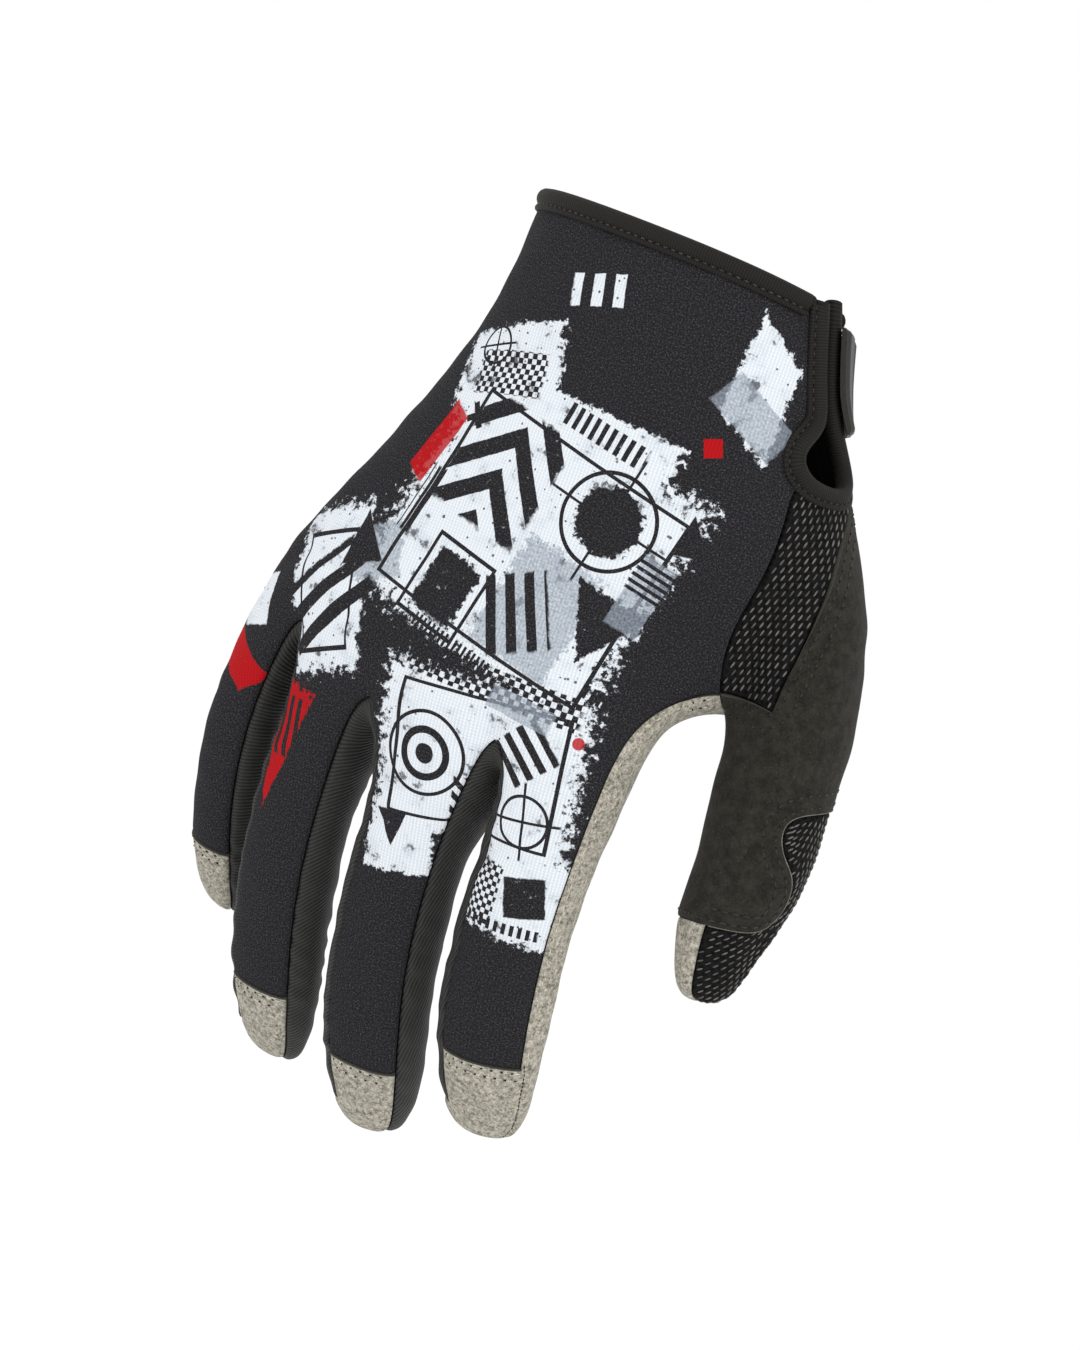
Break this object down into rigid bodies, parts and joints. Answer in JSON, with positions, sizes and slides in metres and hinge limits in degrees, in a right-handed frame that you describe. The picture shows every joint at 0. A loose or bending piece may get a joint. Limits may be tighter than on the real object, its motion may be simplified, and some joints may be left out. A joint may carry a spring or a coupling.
{
  "type": "motocross glove",
  "caption": "Right-hand full-finger motocross glove with printed knit back, suede palm, mesh thumb and a wrist slit closed by a strap.",
  "frame": {"origin": "middle of the wrist opening, at the height of the cuff cloth's edge", "axes": "+Z from the fingers up to the cuff, +X to the thumb's side, +Y to the palm; the back of the hand faces -Y"},
  "size_m": [0.1459, 0.0662, 0.2101],
  "materials": {
    "printed_knit": "matte stretch knit with a black, white and red print",
    "grey_suede": "grey synthetic suede, brushed",
    "finger_twill": "black ribbed stretch cloth",
    "air_mesh": "black spacer mesh",
    "black_suede": "black synthetic suede",
    "ribbed_binding": "black ribbed binding tape",
    "strap_rubber": "dark grey moulded strap, satin",
    "hook_patch": "black hook-and-loop patch"
  },
  "bodies": {
    "root": {"back_panel": "printed_knit", "palm_panel": "grey_suede", "fourchette_pinky_ring": "finger_twill", "fourchette_ring_middle": "finger_twill", "fourchette_middle_index": "finger_twill", "wrist_mesh_gusset": "air_mesh", "thumb_suede": "black_suede", "thumb_mesh": "air_mesh", "slit_binding": "ribbed_binding", "cuff_binding": "ribbed_binding", "closure_strap": "strap_rubber", "closure_patch": "hook_patch"}
  },
  "joints": []
}
